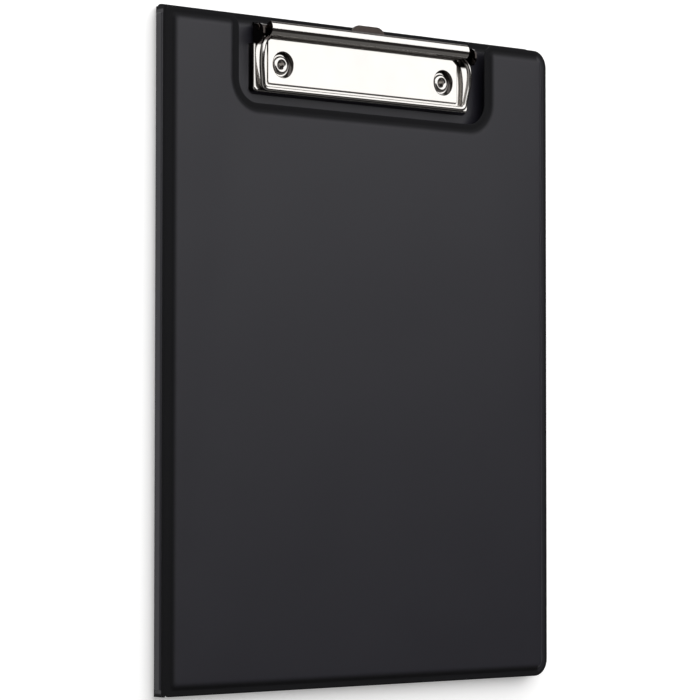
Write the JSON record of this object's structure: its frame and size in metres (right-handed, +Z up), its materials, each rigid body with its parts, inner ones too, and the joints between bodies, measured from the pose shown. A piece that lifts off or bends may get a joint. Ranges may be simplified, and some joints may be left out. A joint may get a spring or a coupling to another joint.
{
  "type": "fold-over clipboard",
  "caption": "Fold-over clipboard: two film-covered boards joined by a narrow spine, with a sprung wire clip in the front cover's notch and a slide-out hanging hook.",
  "frame": {"origin": "centre of the back cover's outer face, which lies on the desk", "axes": "+Y along the cover towards the clip, +X from the spine to the free edge, +Z up through the front cover"},
  "size_m": [0.1784, 0.2358, 0.0104],
  "materials": {
    "film": "semi-matte black PVC film",
    "board": "grey board",
    "pocket_film": "thin black PVC sheet",
    "plated_sheet": "bright nickel-plated pressed steel",
    "plated_wire": "bright nickel-plated round wire",
    "rivet": "bright plated tubular rivet",
    "spring_steel": "plain spring wire"
  },
  "bodies": {
    "back": {"back_board": "board", "back_outer_skin": "film", "back_inner_skin": "film", "back_hinge_web": "film", "clip_base": "plated_sheet", "clip_rivets": "rivet", "pivot_pin": "plated_wire"},
    "spine": {"spine_board": "board", "spine_outer_skin": "film", "spine_inner_skin": "film", "cover_hinge_web": "film"},
    "cover": {"cover_board": "board", "cover_outer_skin": "film", "cover_inner_skin": "film", "cover_pocket": "pocket_film"},
    "jaw": {"jaw_lever": "plated_sheet", "jaw_wire": "plated_wire", "return_springs": "spring_steel"},
    "hanger": {"hanging_hook": "plated_sheet"}
  },
  "joints": [
    {"name": "spine_fold", "type": "hinge", "parent": "back", "child": "spine", "pos_m": [-0.0884, 0, 0.0011], "axis": [0, -1, 0], "range_deg": [0, 180], "deforming": ["back_hinge_web"]},
    {"name": "cover_fold", "type": "hinge", "parent": "spine", "child": "cover", "pos_m": [-0.0884, 0, 0.0063], "axis": [0, -1, 0], "range_deg": [0, 180], "deforming": ["cover_hinge_web"]},
    {"name": "jaw_pivot", "type": "hinge", "parent": "back", "child": "jaw", "pos_m": [0.0016, 0.1126, 0.00615], "axis": [-1, 0, 0], "range_deg": [0, 30], "stiffness_Nm_per_rad": 0.1, "springref_deg": -57.3, "deforming": ["return_springs"]},
    {"name": "hook_slide", "type": "slide", "parent": "back", "child": "hanger", "axis": [0, 1, 0], "range_m": [0, 0.014]}
  ]
}
